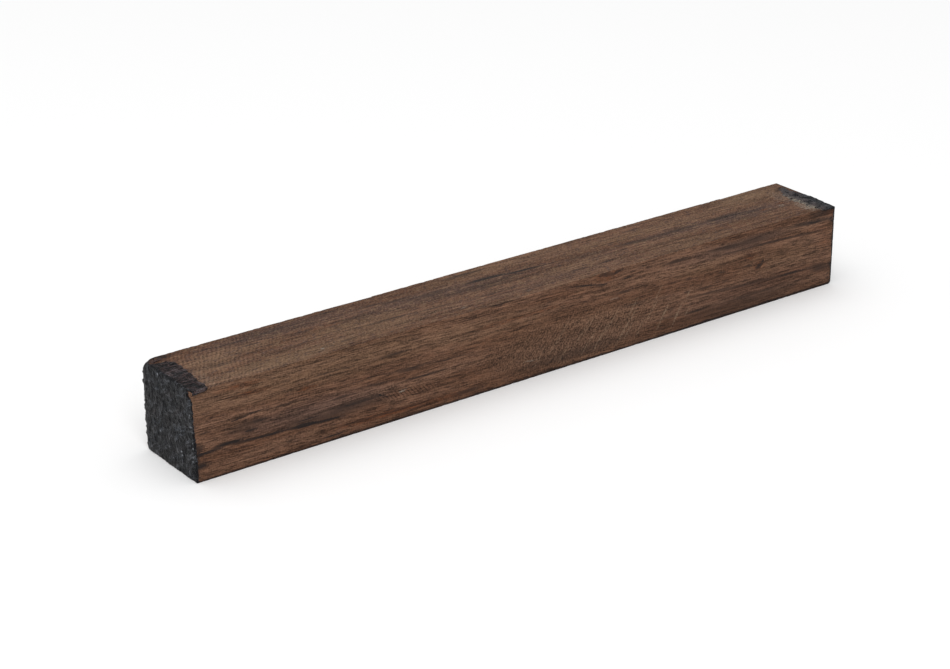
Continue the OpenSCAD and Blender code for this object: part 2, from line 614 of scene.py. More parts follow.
STRAW_STREAKS: Marks = {
    Face.TOP: streaks(
        (2, 84, 5, 1, 7, 0.75),
        (4, 62, 26, -2, 6, 0.45),
        (6, 34, 18, 0, 9, 0.45),
        (186, 312, 29, -1, 4.6, 0.4),
        (306, 352, 36, 0, 5, 0.45),
        (120, 250, 1, 0, 1.6, 0.3),
        (60, 126, 8, 2, 8, 0.45),
        (56, 122, 19, 0, 6, 0.55),
        (150, 225, 36, 0, 5, 0.3),
        (236, 296, 5, 0, 7, 0.4),
        (176, 232, 14, 0, 5, 0.35),
        (296, 352, 32, 0, 8, 0.55),
        (126, 190, 34, 0, 5, 0.35),
    ),
    Face.FRONT: streaks(
        (-30, 150, 35, -2, 9, 0.42),
        (110, 190, 30, -2, 8, 0.25),
        (285, 352, 22, -1, 7, 0.25),
        (245, 300, 28, 0, 4, 0.22),
    ),
}
PLUM_STREAKS: Marks = {
    Face.TOP: streaks(
        (12, 110, 33.5, 0, 6.5, 0.82),
        (66, 210, 27, -6, 7.5, 0.7),
        (232, 320, 20, -1.5, 4.5, 0.78),
        (200, 240, 20, -4, 5, 0.35),
        (284, 345, 17, 0, 6.5, 0.85),
        (112, 244, 8, 0, 6, 0.42),
    ),
    Face.FRONT: streaks(
        (8, 104, 17, -1, 6.5, 0.75),
        (140, 245, 12, -2, 9, 0.4),
        (240, 352, 10, 0, 6, 0.35),
        (240, 330, 33.6, 0, 4, 0.55),
    ),
}
DUSTY_PLACES: Marks = {
    Face.TOP: streaks(
        (336, 345, 7, 0, 9, 1.35),
        (334, 347, 23, 3, 9, 0.5),
        (5, 15, 10, 0, 12, 0.3),
        (330.5, 333.5, 15.4, 0, 1.4, 1.4),
        (135.5, 138.5, 6, 0, 1.4, 0.9),
        (168.5, 171.5, 4, 0, 1.4, 0.8),
        (63.2, 65.6, 4.8, 1, 1, 2.4),
    ),
    Face.FRONT: streaks(
        (99.2, 102.4, 13.1, -0.2, 0.7, 1.6),
        (166, 172, 8.8, -1, 0.6, 0.9),
        (214, 219, 26, 0, 0.7, 0.5),
    ),
}
STAINED_PLACES: Marks = {
    Face.TOP: streaks(
        (-12, 15, 37.8, 0, 4.2, 1.3),
        (-10, 11.5, 17, 0, 16.5, 1),
        (343, 362, 12, 0, 17, 1),
        (344, 352, 31, 3, 3, 0.8),
    ),
    Face.FRONT: streaks(
        (-3, 1.6, 10, 0, 14, 0.9),
        (-3, 0.8, 26, 0, 9, 0.6),
        (350.8, 355, 20, 0, 30, 0.9),
        (339, 362, 40.4, 0, 2, 1.4),
    ),
}
# Darkening along the foot of the front and the underside, partly dirt and partly painted contact shadow
DIRTY_AND_SHADOWED_FOOT: Marks = {
    Face.FRONT: streaks((-200, 552, -0.2, 0, 1.6, 1.3), (225, 400, -0.4, 0, 2.2, 0.9)),
    Face.UNDERSIDE: streaks((-200, 552, -0.6, 0, 1.5, 1.3)),
}
MOTTLED_PLACES: Marks = {
    Face.FRONT: streaks((135, 250, 13, 0, 15, 1.3)),
}
TOOTHED_PLACES: Marks = {
    Face.FRONT: streaks((83, 121, 12.8, -2, 2.6, 0.9), (88, 104, 16, 0, 1.4, 0.5)),
}
CHATTERED_PLACES: Marks = {
    Face.FRONT: streaks((36, 68, 29, 0, 16, 1), (262, 300, 24, 0, 12, 0.4)),
}
# Scratches run up the front face, so their places along it are levels
SCRATCHES = streaks(
    (1, 20, 215.6, 15.2, 0.85, 0.9),
    (3, 18, 240.8, 9, 0.85, 1),
    (2, 15, 249.6, 7.8, 0.85, 1),
    (9, 20, 234.4, 8, 0.77, 0.8),
    (14, 21, 258.6, 3.6, 0.68, 0.8),
    (3, 16, 203.6, 10, 0.77, 0.8),
    (12, 26, 222, 10, 0.68, 0.7),
    (3, 14, 228, 7.6, 0.68, 0.7),
    (5, 22, 190, 14, 0.68, 0.6),
    (2, 16, 196, 11.5, 0.68, 0.7),
    (6, 24, 177, 15, 0.68, 0.55),
    (6, 12, 258, 3.8, 0.68, 0.7),
    (16, 27, 238, 7, 0.68, 0.6),
    (2, 12, 183, 8.5, 0.68, 0.55),
    (8, 22, 209, 11, 0.68, 0.6),
    (4, 14, 221.6, 7, 0.68, 0.6),
    (10, 24, 196, 12, 0.59, 0.5),
    (4, 13, 170, 7.5, 0.68, 0.5),
)


def sum_up(x: Value, across: Value, marks: tuple[Streak, ...], offset: float = 0.0,
           start: Term = 0.0) -> Term:
    """Adds up some streaks.

    Args:
        x: Place in the direction that they run.
        across: Place across them.
        marks: The streaks.
        offset: What is added to their levels.
        start: What the sum starts from.

    Returns:
        The sum of their depths at the place.
    """
    for mark in marks:
        half = (mark.end - mark.start) / 2
        middle = (mark.end + mark.start) / 2
        slope = mark.drift / (2 * half)
        leaning = x.math("MULTIPLY_ADD", x, -slope / mark.spread, across * (1 / mark.spread))
        aside = leaning - (mark.level + mark.drift / 2 + offset - slope * middle) / mark.spread
        ahead = x.math("MULTIPLY_ADD", x, 1 / half, -middle / half)
        reach = x.math("MULTIPLY_ADD", aside, aside, ahead * ahead)
        inside = x.math("SUBTRACT", 1.0, reach, clamp=True)
        start = x.math("MULTIPLY_ADD", inside, mark.depth, start)
    return start


def total(x: Value, u: Value, streaks_by_face: Marks) -> Term:
    """Adds up the streaks of every face.

    Args:
        x: Place along the blank.
        u: Place across the face, past the face's own offset.
        streaks_by_face: The streaks of each face.

    Returns:
        Their depth at the place, 0 where there is none.
    """
    sum_so_far: Term = 0.0
    for face, marks in streaks_by_face.items():
        sum_so_far = sum_up(x, u, marks, face.value, sum_so_far)
    return sum_so_far


@dataclass(frozen=True)
class DarkHardwood:
    """Rough-sawn, dark and streaky hardwood that has gathered dust."""

    tan: Colour = (0.130, 0.068, 0.0425)
    brown: Colour = (0.092, 0.0435, 0.025)
    dark: Colour = (0.014, 0.0095, 0.0085)
    russet: Colour = (0.090, 0.029, 0.011)
    straw: Colour = (0.164, 0.102, 0.061)
    plum: Colour = (0.062, 0.038, 0.032)
    olive: Colour = (0.100, 0.056, 0.033)
    dust: Colour = (0.240, 0.202, 0.165)
    wax_stain: Colour = (0.016, 0.012, 0.012)
    scuffed: Colour = (0.240, 0.165, 0.110)
    gloss: float = 0.12
    # How far the grain climbs for each millimetre along, how far it sways and ripples, and the
    # share of that which the figure follows
    slope: float = 0.03
    sway: float = 5.0
    ripple: float = 0.6
    follow: float = 0.3
    # How much coarser the long thin lines are on the top
    coarser: float = 0.55
    # The size of each layer's features, along, across and up
    sway_cell: Cell = (60, 14, 14)
    ripple_cell: Cell = (13, 4, 4)
    band_cell: Cell = (110, 7, 7)
    streak_cell: Cell = (34, 1.5, 1.5)
    line_cell: Cell = (40, 0.45, 0.45)
    fibre_cell: Cell = (9, 0.52, 0.52)
    hair_cell: Cell = (3, 0.33, 0.33)
    fuzz_cell: Cell = (0.8, 2.6, 40)
    scuff_cell: Cell = (0.9, 3.2, 40)
    blotch_cell: Cell = (3.4, 1.7, 40)
    grit_cell: Cell = (0.85, 0.85, 0.85)
    cloud_cell: Cell = (26, 9, 9)
    # How much the saw's hatching, its deeper teeth and its upright marks change the tone
    hatch_tone: float = 0.13
    teeth_tone: float = 0.85
    upright_tone: float = 0.08
    # The darkest tone that the layers make, as a share of the colour
    lowest_tone: float = 0.25
    roughness: float = 0.80
    dark_polish: float = 0.15

    def bend_round_knots(self, x: Value, flat: Value, u: Value) -> Value:
        """Pushes the grain aside at each pin knot.

        Args:
            x: Place along the blank.
            flat: Place across the face, past the face's own offset.
            u: The same, swayed as the grain is.

        Returns:
            The swayed place with the push of the knots.
        """
        for knot in KNOTS:
            across = flat - (knot.level + knot.face.value)
            ahead = (x - knot.along) * (1 / (knot.radius * knot.ahead))
            near = across * across * (1 / (knot.radius * knot.aside) ** 2) + ahead * ahead + 1.0
            u = u + across * (-knot.push / knot.radius) / (near * near)
        return u

    def read_grain(self, graph: Graph) -> Grain:
        """Lays the layers of noise that the wood is drawn with.

        Args:
            graph: The material's graph.

        Returns:
            The layers.
        """
        point = graph.place()
        x, y, z = graph.split(point)
        rise = z - HEIGHT / 2
        aside = y - WIDTH / 2
        level_faces = abs(rise) > abs(aside)
        top = level_faces * (rise > 0.0)
        front = (1.0 - level_faces) * (aside < 0.0)
        back = (1.0 - level_faces) * (aside > 0.0)
        under = level_faces - top
        level = z + level_faces * (y - z)
        flat = level + (front * Face.FRONT.value + under * Face.UNDERSIDE.value + back * Face.BACK.value)

        broad_sway = (graph.noise(point, self.sway_cell) - 0.5) * self.sway
        sway = broad_sway + (graph.noise(point, self.ripple_cell) - 0.5) * self.ripple
        u = self.bend_round_knots(x, flat, flat + sway * self.follow)
        bent = u - flat + x * self.slope
        grain = graph.join(x, y + bent, z + bent)
        wavy = graph.join(x, y + bent + sway, z + bent + sway)
        fibre = graph.noise(grain, self.fibre_cell, 3, 0.65)
        hair = graph.noise(grain, self.hair_cell)
        coarse = 1.0 - self.coarser * top
        followed = sway * self.follow
        thread = graph.join(x, (y + bent + followed) * coarse, (z + bent + followed) * coarse)
        lean = level * (top * TOP_MARKS.slant + front * UPRIGHT_MARKS.slant)
        grain_level = u + x * self.slope
        return Grain(
            x=x,
            level=level,
            flat=flat,
            u=u,
            top=top,
            front=front,
            band=graph.noise(wavy, self.band_cell, 2),
            streak=graph.noise(wavy, self.streak_cell, 3, 0.55),
            lines=graph.noise(thread, self.line_cell, 2, 0.6) - 0.5,
            fuzz=graph.noise(graph.join(x - lean, flat, flat), self.fuzz_cell, 2, 0.6) - 0.5,
            fine=(fibre - 0.5) * 1.1 + (hair - 0.5) * 0.8,
            grit=graph.noise(point, self.grit_cell, 2, 0.65) - 0.5,
            scuff=graph.noise(graph.join(x - z * SCUFF_LEAN, z, y), self.scuff_cell, 2, 0.6) - 0.5,
            cloud=graph.noise(point, self.cloud_cell, 2),
            blotch=graph.noise(graph.join(x - lean, grain_level, grain_level), self.blotch_cell, 2, 0.6),
        )

    def saw_tone(self, grain: Grain) -> Value:
        """How much lighter or darker the marks of the saw make the wood.

        Args:
            grain: The layers of noise.

        Returns:
            A share, about 0.
        """
        x, level = grain.x, grain.level
        hatch = TOP_MARKS.wave(x, level) * (grain.cloud.rise(0.4, 0.65) * 0.5 + x.rise(70, 20)) * grain.top
        teeth = FRONT_MARKS.wave(x, level).rise(0.1, 1.0) * total(x, grain.flat, TOOTHED_PLACES)
        upright = UPRIGHT_MARKS.wave(x, level) * total(x, grain.flat, CHATTERED_PLACES)
        marks = hatch * self.hatch_tone - teeth * self.teeth_tone + upright * self.upright_tone
        return marks + grain.fuzz * (0.25 + 0.75 * grain.top)

    def bare_colour(self, graph: Graph, grain: Grain, along: Value, jag: Value) -> Value:
        """The wood's own colour, before its dark streaks, dust and stains.

        Args:
            graph: The material's graph.
            grain: The layers of noise.
            along: Place along the blank, frayed.
            jag: Place across the faces, frayed.

        Returns:
            A colour.
        """
        wood = graph.blend(grain.band.rise(0.35, 0.65), self.brown, self.tan)
        for marks, colour in ((STRAW_STREAKS, self.straw), (PLUM_STREAKS, self.plum)):
            wood = graph.blend(total(along, grain.u, marks).clamped() * 0.8, wood, colour)
        russet = total(along, jag, RUSSET_STREAKS) * (0.8 + 3.0 * grain.fine)
        wood = graph.blend(russet.clamped(), wood, self.russet)
        wood = graph.blend(grain.blotch.rise(0.54, 0.66) * (0.20 + 0.38 * grain.top), wood, self.plum)
        wood = graph.blend(grain.blotch.rise(0.47, 0.36) * (0.10 + 0.36 * grain.top), wood, self.straw)
        mottled = total(along, grain.u, MOTTLED_PLACES).clamped()
        wood = graph.blend(mottled * 0.4, wood, self.olive)

        # Each layer's share is less on the top and where the front is mottled
        tone = 1.0 + (grain.streak - 0.5) * (1.0 - 0.15 * grain.top + 0.6 * grain.front - 0.8 * mottled)
        tone = tone + grain.fine * (1.2 + 0.9 * grain.front - 1.2 * mottled)
        tone = tone + grain.lines * (2.2 - 0.6 * grain.top - 1.4 * mottled)
        tone = tone + grain.grit * (1.8 + 2.4 * mottled)
        tone = tone + grain.scuff * mottled * 2.6
        return graph.shade(wood, (tone + self.saw_tone(grain)).highest(self.lowest_tone))

    def darkness(self, grain: Grain, along: Value, jag: Value) -> Value:
        """How dark the streaks, and the veins and threads between them, make the wood.

        Args:
            grain: The layers of noise.
            along: Place along the blank, frayed.
            jag: Place across the faces, frayed.

        Returns:
            A share from 0 to 1.
        """
        black = total(along, jag, DARK_STREAKS)
        listed = (black * (1.15 + 2.2 * grain.fine + 1.6 * grain.lines + grain.grit)).clamped()
        veins = (grain.streak - 0.56).highest(0.0) * 3.0 * grain.cloud.rise(0.38, 0.60)
        threads = (veins + grain.lines * 3.2 + grain.fine + grain.grit * 0.8 - 0.60).rise(0.0, 0.8)
        return 1.0 - (1.0 - listed) * (1.0 - threads * (0.8 - 0.2 * grain.top))

    def soiled_and_shaded(self, graph: Graph, grain: Grain, wood: Value) -> Value:
        """The wood with its scratches, dust and wax stains, and its foot darkened, partly dirt and partly
        painted shadow.

        Args:
            graph: The material's graph.
            grain: The layers of noise.
            wood: The colour of the clean wood.

        Returns:
            A colour.
        """
        x, flat, fine, grit = grain.x, grain.flat, grain.fine, grain.grit
        scratched = sum_up(grain.level + grit * 6.0, x + grit * 1.6, SCRATCHES) * grain.front
        scuffed = scratched * (0.42 + 2.4 * grit + 2.0 * grain.scuff).clamped()
        wood = graph.blend(scuffed, wood, self.scuffed)

        smear = total(x + fine * 8.0, flat, DUSTY_PLACES) * (0.7 + 3.5 * grit + 3.0 * fine).highest(0.0)
        dust = (grit - 0.02).highest(0.0) * (grain.top + 0.3) + smear * 0.50
        wood = graph.blend(dust.clamped(), wood, self.dust)

        stain = total(x + fine * 6.0 + (grain.cloud - 0.5) * 14.0, flat, STAINED_PLACES)
        stained = (stain * (0.75 + 3.6 * grit + 1.6 * fine)).rise(0.05, 0.9)
        wood = graph.blend(stained, wood, self.wax_stain)
        # Painted contact shadow, with some dirt, darkens the foot
        edge = total(x, flat + fine, DIRTY_AND_SHADOWED_FOOT)
        return graph.blend(edge.clamped() * 0.9, wood, self.dark)

    def material(self) -> bpy.types.Material:
        """Builds the wood's material.

        Returns:
            The material.
        """
        graph = Graph("dark_hardwood")
        grain = self.read_grain(graph)
        along = grain.x + grain.grit * 9.0
        jag = grain.u + grain.fine * 0.8
        wood = self.bare_colour(graph, grain, along, jag)
        darkness = self.darkness(grain, along, jag)
        wood = graph.blend(darkness, wood, self.dark)
        wood = self.soiled_and_shaded(graph, grain, wood)
        roughness = self.roughness - darkness * self.dark_polish + grain.grit * 0.3
        height = grain.fine * 0.14 + grain.lines * 0.12 + grain.grit * 0.14
        return graph.finish(wood, roughness.clamped(), height, self.gloss)


@dataclass(frozen=True)
class Brushwork:
    """The layers that the wax is drawn with, as node values.

    Attributes:
        point: The point on the blank.
        x: Place along the blank.
        y: Place across it.
        z: Place up it.
        stroke: Brush strokes.
        brushed: Finer strokes along the laps.
        lump: Lumps a few millimetres across.
        cloud: Soft patches.
        tint: Patches of another tint.
        grit: Fine speckle, about 0.
        near_lap: 1 on the near end's lap.
        far_lap: 1 on the far end's lap.
    """

    point: Value
    x: Value
    y: Value
    z: Value
    stroke: Value
    brushed: Value
    lump: Value
    cloud: Value
    tint: Value
    grit: Value
    near_lap: Value
    far_lap: Value


@dataclass(frozen=True)
class BlackWax:
    """Black wax, brushed on thick and gone dull, with specks in it that are partly dust and partly painted
    glints.
    """

    black: Colour = (0.003, 0.003, 0.004)
    grey: Colour = (0.040, 0.040, 0.0435)
    brown: Colour = (0.031, 0.024, 0.022)
    blue: Colour = (0.013, 0.016, 0.021)
    plum: Colour = (0.052, 0.030, 0.028)
    scraped: Colour = (0.085, 0.042, 0.025)
    dusty: Colour = (0.080, 0.067, 0.066)
    chalk: Colour = (0.300, 0.255, 0.200)
    # The colour of the flecks, partly dust and partly painted glints
    speck: Colour = (0.250, 0.250, 0.260)
    # The colour of the painted glints and the painted sheen
    painted_highlight: Colour = (0.320, 0.335, 0.370)
    gloss: float = 0.09
    # The angle of the strokes over the end, and how far they bend
    stroke_angle: float = 28.0
    bend: float = 5.0
    # The size of each layer's features
    bend_cell: Cell = (9, 9, 9)
    slanting_cell: Cell = (8, 1.1, 1.4)
    upright_cell: Cell = (0.9, 3, 1.2)
    brushed_cell: Cell = (5, 0.9, 2)
    lump_cell: Cell = (3.2, 3.2, 3.2)
    cloud_cell: Cell = (8, 8, 8)
    tint_cell: Cell = (14, 4, 6)
    grit_cell: Cell = (0.55, 0.55, 0.55)
    speck_cell: float = 1.7
    # Only the outer face, this close to it, has the painted glints of the beads and the other painted
    # glints
    face_depth: float = 1.0
    # Painted glints on the near end, as their place across, up and their radius
    glints: tuple[tuple[float, float, float], ...] = (
        (26.8, 38.6, 0.75),
        (10.3, 8.8, 0.5),
        (10.6, 10.4, 0.5),
        (17.4, 4.7, 0.45),
        (27.7, 13.2, 0.45),
    )

    def read_brushwork(self, graph: Graph) -> Brushwork:
        """Lays the layers of noise that the wax is drawn with.

        Args:
            graph: The material's graph.

        Returns:
            The layers.
        """
        point = graph.place()
        x, y, z = graph.split(point)
        lean = math.radians(self.stroke_angle)
        run = z * math.sin(lean) - y * math.cos(lean)
        step = z * math.cos(lean) + y * math.sin(lean)
        bend = (graph.noise(point, self.bend_cell) - 0.5) * self.bend
        slanting = graph.noise(graph.join(run, step + bend, x), self.slanting_cell, 4, 0.65)
        upright = graph.noise(graph.join(y + bend * 0.3, z, x), self.upright_cell, 3, 0.65)
        cloud = graph.noise(point, self.cloud_cell)
        stroke = slanting + cloud.rise(0.45, 0.62) * (upright - slanting)
        on_top = z > HEIGHT - 0.6
        lapped = on_top * x.rise(-0.6, 0.6) * x.rise(LENGTH - 0.3, LENGTH - 1.2)
        brushed = graph.noise(point, self.brushed_cell, 3, 0.65)
        return Brushwork(
            point=point,
            x=x,
            y=y,
            z=z,
            stroke=stroke + lapped * (brushed - stroke),
            brushed=brushed,
            lump=graph.noise(point, self.lump_cell, 2),
            cloud=cloud,
            tint=graph.noise(graph.join(run, step + bend, x), self.tint_cell),
            grit=graph.noise(point, self.grit_cell) - 0.5,
            near_lap=lapped * x.rise(40, 20),
            far_lap=lapped * x.rise(LENGTH - 40, LENGTH - 20),
        )

    def coat_colour(self, graph: Graph, seen: Brushwork, light: Value) -> Value:
        """The wax's colour, with painted shade, black in the hollows of the strokes, and painted sheen on
        their ridges.

        Args:
            graph: The material's graph.
            seen: The layers of noise.
            light: How far each place stands out of the hollows.

        Returns:
            A colour.
        """
        wax = graph.blend(seen.tint.rise(0.50, 0.66) * 0.6, self.grey, self.brown)
        cold = seen.tint.rise(0.47, 0.36) + seen.y.rise(6.0, 1.0) * 0.5 + seen.z.rise(31.0, 38.0) * 0.6
        wax = graph.blend(cold.clamped() * 0.7, wax, self.blue)
        warm = (seen.cloud * 2.4 + seen.lump * 2.0 - 1.25 + seen.x.rise(4.0, 9.0) * 0.4).clamped()
        wax = graph.blend(seen.near_lap * warm, wax, self.plum)
        # Painted shade: the wax goes black where the strokes are low, and the laps are kept paler
        out_of_hollow_shade = light + 0.24 + seen.far_lap * 0.62 + seen.near_lap * 0.14
        wax = graph.blend(out_of_hollow_shade.clamped(), self.black, wax)
        # Painted sheen: the highest ridges of the strokes turn to the highlight colour
        return graph.blend((light - 0.45).highest(0.0) * 0.18, wax, self.painted_highlight)

    def wear_laps(self, graph: Graph, seen: Brushwork, wax: Value) -> Value:
        """Scrapes the back of the near lap, and dusts and rubs the far one.

        Args:
            graph: The material's graph.
            seen: The layers of noise.
            wax: The colour of the wax.

        Returns:
            The worn colour.
        """
        scraped = seen.near_lap * seen.y.rise(32.5, 34.5) * (seen.lump * 3.0 + seen.grit * 4.0 - 1.4)
        wax = graph.blend(scraped.clamped(), wax, self.scraped)
        inner = seen.far_lap * (seen.x - seen.y.rise(16, 26) * 3.0).rise(LENGTH - 3.0, LENGTH - 8.0)
        dusted = inner * (0.60 + (seen.lump - 0.5) * 4.0 + seen.grit * 1.5)
        wax = graph.blend(dusted.clamped(), wax, self.dusty)
        rubbed = seen.far_lap * seen.x.rise(LENGTH - 8.0, LENGTH - 10.5)
        chalked = rubbed * ((seen.brushed - 0.5) * 6.0 + seen.grit * 3.0 + 0.25)
        return graph.blend(chalked.clamped(), wax, self.chalk)

    def glint(self, seen: Brushwork, distance: Value, kind: Value) -> Value:
        """The painted glints on the beads down the front edge of the near end, and its few other painted
        glints.

        Args:
            seen: The layers of noise.
            distance: The distance from the nearest speck.
            kind: A number that differs from speck to speck.

        Returns:
            A share from 0 to 1.
        """
        on_face = seen.x < self.face_depth
        beads = abs(seen.y - 1.5).rise(1.2, 0.4) * seen.z.rise(5, 10) * seen.z.rise(37, 34) * on_face
        glint = distance.rise(0.38, 0.16) * (kind > 0.30) * beads
        for across, up, radius in self.glints:
            aside, rise = seen.y - across, seen.z - up
            off = aside * aside + rise * rise + seen.grit
            glint = glint.highest(off.rise(radius * radius, 0.0) * on_face)
        return glint

    def material(self) -> bpy.types.Material:
        """Builds the wax's material.

        Returns:
            The material.
        """
        graph = Graph("black_wax")
        seen = self.read_brushwork(graph)
        strokes = (seen.stroke - 0.5) * (6.6 + seen.near_lap - seen.far_lap * 2.2)
        light = strokes + (seen.lump - 0.5) * (3.2 + seen.far_lap * 1.5) + seen.grit * 3.2
        wax = self.coat_colour(graph, seen, light)
        wax = self.wear_laps(graph, seen, wax)
        distance, kind = graph.specks(seen.point, self.speck_cell)
        # Light flecks, partly dust and partly painted glints
        fleck = distance.rise(0.26, 0.08) * (kind > 0.90)
        wax = graph.blend(fleck * 0.6, wax, self.speck)
        # Painted glints on the beads of the near end's front edge and at a few listed spots
        wax = graph.blend(self.glint(seen, distance, kind) * 0.8, wax, self.painted_highlight)
        roughness = 0.42 + (seen.stroke - 0.5) * 0.8 + seen.grit * 0.3
        height = light * 0.20 + fleck * 0.08
        return graph.finish(wax, roughness.clamped(), height, self.gloss)


# How far apart the noises of two seeds are read, in cells
SEED_STEP = 17.3


def drift(points: np.ndarray, cell: Cell, seed: float, octaves: int = 1) -> np.ndarray:
    """Smooth noise at each point.

    Args:
        points: Points, one to a row.
        cell: The size of its features along each axis.
        seed: Sets one noise apart from another.
        octaves: How many layers it has, each half the size of the last.

    Returns:
        A number for each point, from about -1 to 1.
    """
    scaled = (points / np.array(cell) + seed * SEED_STEP).tolist()
    return np.array([noise.fractal(spot, 1.0, 2.0, octaves) for spot in scaled])


def ease(values: np.ndarray, low: float, high: float) -> np.ndarray:
    """A smooth step.

    Args:
        values: The values to step over.
        low: Where it starts to leave 0.
        high: Where it reaches 1.

    Returns:
        Values from 0 to 1.
    """
    share = np.clip((values - low) / (high - low), 0, 1)
    return share * share * (3 - 2 * share)


def ruled(low: float, high: float, spacing: float, edge: tuple[float, ...]) -> np.ndarray:
    """Grid lines that crowd towards both ends.

    Args:
        low: The first line.
        high: The last line.
        spacing: The distance between lines away from the ends.
        edge: Distances from each end of the lines that crowd there.

    Returns:
        The lines in order.
    """
    inner_low, inner_high = low + edge[-1], high - edge[-1]
    inner = np.linspace(inner_low, inner_high, max(2, round((inner_high - inner_low) / spacing) + 1))
    start = [low] + [low + step for step in edge[:-1]]
    end = [high - step for step in reversed(edge[:-1])] + [high]
    return np.concatenate([start, inner, end])


class Skin:
    """Some or all faces of a box as one gridded mesh, whose vertices are then moved by array."""

    # In the unit box: vertices this close are welded, and one this close to a face is on it
    WELD = 1e-5
    TOUCH = 1e-4
    # How far the second layer is first drawn inside the first
    STEP = 0.02

    def __init__(self, lines: tuple[np.ndarray, ...], faces: list[tuple[int, int]]) -> None:
        """Makes the grids and welds them.

        Args:
            lines: The grid lines along each axis.
            faces: The faces to make, each as an axis and the side of it, 0 for low and 1 for high.
        """
        self.lines = lines
        self.mesh = bmesh.new()
        for axis, side in faces:
            first, second = [other for other in range(3) if other != axis]
            turn = Matrix.Identity(4)
            for column, target in enumerate((first, second, axis)):
                turn.col[column] = [float(row == target) for row in range(4)]
            turn.translation[axis] = side - 0.5
            columns, rows = len(lines[first]) - 1, len(lines[second]) - 1
            bmesh.ops.create_grid(self.mesh, x_segments=columns, y_segments=rows, size=0.5, matrix=turn)
        bmesh.ops.remove_doubles(self.mesh, verts=self.mesh.verts[:], dist=self.WELD)
        self.unit = self.read()

    def read(self) -> np.ndarray:
        """Where each vertex is in the unit box, from 0 to 1 on each axis."""
        return np.array([vertex.co[:] for vertex in self.mesh.verts]) + 0.5

    def thicken(self) -> np.ndarray:
        """Closes an open skin with a second layer inside it.

        Returns:
            Whether each vertex belongs to the inner layer.
        """
        outer = len(self.mesh.verts)
        middle = Vector(0.5 - self.unit.mean(axis=0)).normalized() * self.STEP
        made = bmesh.ops.extrude_face_region(self.mesh, geom=self.mesh.faces[:])["geom"]
        moved = [part for part in made if isinstance(part, bmesh.types.BMVert)]
        self.mesh.verts.index_update()
        self.unit = self.read()
        bmesh.ops.translate(self.mesh, verts=moved, vec=middle)
        return np.arange(len(self.mesh.verts)) >= outer

    def points(self) -> np.ndarray:
        """Puts each vertex on its grid lines.

        Returns:
            A point in millimetres to a row.
        """
        places = []
        for axis, lines in enumerate(self.lines):
            steps = np.rint(self.unit[:, axis] * (len(lines) - 1)).astype(int)
            places.append(lines[steps])
        return np.stack(places, axis=1)

    def on(self, axis: int, side: int) -> np.ndarray:
        """Whether each vertex lies on a face of the box."""
        return np.abs(self.unit[:, axis] - side) < self.TOUCH

    def finish(self, name: str, points: np.ndarray, material: bpy.types.Material) -> bpy.types.Object:
        """Makes the object.

        Args:
            name: Its name.
            points: The final place of each vertex, in millimetres.
            material: Its material.

        Returns:
            The object, linked to the scene.
        """
        bmesh.ops.recalc_face_normals(self.mesh, faces=self.mesh.faces[:])
        data = bpy.data.meshes.new(name)
        self.mesh.to_mesh(data)
        self.mesh.free()
        data.vertices.foreach_set("co", (points * MM).astype(np.float32).ravel())
        data.shade_smooth()
        data.materials.append(material)
        data.update()
        made = bpy.data.objects.new(name, data)
        bpy.context.scene.collection.objects.link(made)
        return made


@dataclass(frozen=True)
class RoundedArris:
    """An arris worn round.

    Attributes:
        axis: The axis that it runs along.
        corner: Its place on the two other axes.
        inward: The way into the blank on those axes, as 1 or -1.
        radius: Its mean radius.
        wander: How much the radius varies along it, as a share.
        nick: How much deeper its small nicks go.
        seed: Sets one arris apart from another.
        wander_cell: The size of the swells, along the arris first.
        nick_cell: The size of the nicks.
    """

    axis: int
    corner: tuple[float, float]
    inward: tuple[int, int]
    radius: float
    wander: float
    nick: float
    seed: float
    wander_cell: Cell = (9, 1, 1)
    nick_cell: Cell = (2.2, 1, 1)

    def wear(self, points: np.ndarray) -> None:
        """Moves the points that lie outside the worn arris onto it.

        Args:
            points: The points to move.
        """
        first, second = [other for other in range(3) if other != self.axis]
        line = np.zeros_like(points)
        line[:, 0] = points[:, self.axis]
        radius = self.radius * (1 + self.wander * drift(line, self.wander_cell, self.seed, 3))
        nicks = np.clip(drift(line, self.nick_cell, self.seed + 0.5, 2) - 0.12, 0, 1) * 2
        radius = radius + self.nick * nicks
        a = radius - self.inward[0] * (points[:, first] - self.corner[0])
        b = radius - self.inward[1] * (points[:, second] - self.corner[1])
        beyond = np.hypot(a, b)
        worn = (a > 0) & (b > 0) & (beyond > radius)
        shrink = np.where(worn, radius / np.maximum(beyond, 1e-9), 1)
        points[:, first] += np.where(worn, self.inward[0] * a * (1 - shrink), 0)
        points[:, second] += np.where(worn, self.inward[1] * b * (1 - shrink), 0)


@dataclass(frozen=True)
class KnockedCorner:
    """A corner of the blank broken off along a rough slant.

    Attributes:
        tip: The sharp corner that is gone.
        reach: How far the break reaches along each axis, with its sign.
        rough: How rough the break is.
        rough_cell: The size of its bumps.
        seed: Sets its bumps apart from other noise.
    """

    tip: tuple[float, float, float]
    reach: tuple[float, float, float]
    rough: float
    rough_cell: Cell = (1.6, 1.6, 1.6)
    seed: float = 3.1

    def wear(self, points: np.ndarray, sink: float = 0.0) -> None:
        """Moves the points beyond the break onto it.

        Args:
            points: The points to move.
            sink: How far below the break they come to lie.
        """
        slope = 1 / np.array(self.reach)
        steep = np.linalg.norm(slope)
        beyond = (1 - (points - np.array(self.tip)) @ slope) / steep
        beyond = beyond + self.rough * drift(points, self.rough_cell, self.seed, 2) + sink
        beyond = np.clip(beyond, 0, None)
        points += beyond[:, None] * (slope / steep)


